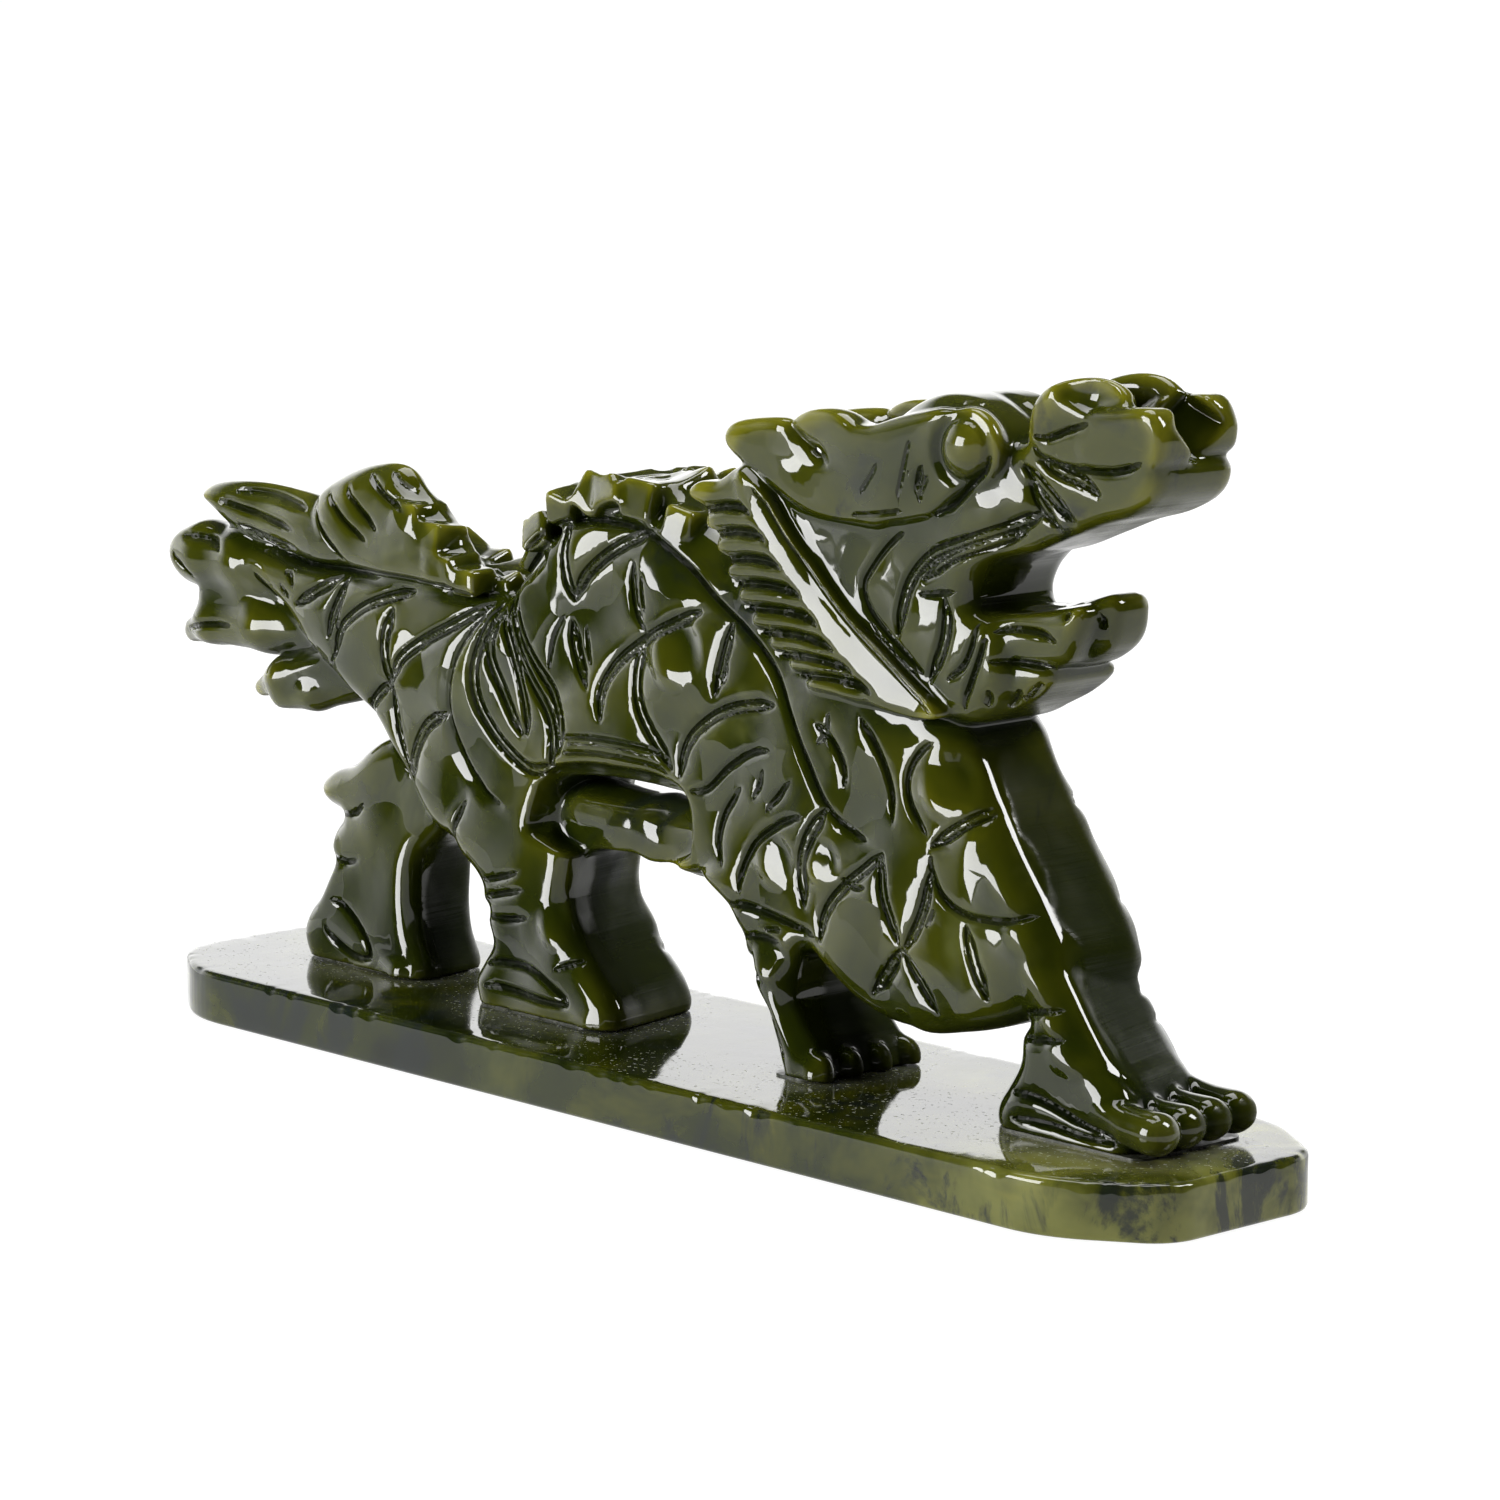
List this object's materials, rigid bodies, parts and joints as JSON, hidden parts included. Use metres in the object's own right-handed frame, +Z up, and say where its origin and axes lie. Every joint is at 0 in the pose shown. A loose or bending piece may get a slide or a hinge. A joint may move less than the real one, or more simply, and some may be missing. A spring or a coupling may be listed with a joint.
{
  "type": "dragon figurine",
  "caption": "Carved green jade dragon striding with its head raised and jaws open, standing on a flat jade slab with cut corners.",
  "frame": {"origin": "centre of the slab's flat underside, where the figurine rests", "axes": "+X along the slab towards the dragon's head, +Z up, -Y towards the dragon's flank that faces the viewer when the head points to the right"},
  "size_m": [0.2154, 0.0446, 0.1036],
  "materials": {
    "jade_carving": "polished dark olive-green jade",
    "jade_slab": "polished dark green jade with darker veins",
    "adhesive": "thin dark cured adhesive"
  },
  "bodies": {
    "root": {"base_slab": "jade_slab", "dragon": "jade_carving", "adhesive_front_lead_foot": "adhesive", "adhesive_front_trail_foot": "adhesive", "adhesive_hind_lead_foot": "adhesive", "adhesive_hind_trail_foot": "adhesive"}
  },
  "joints": []
}
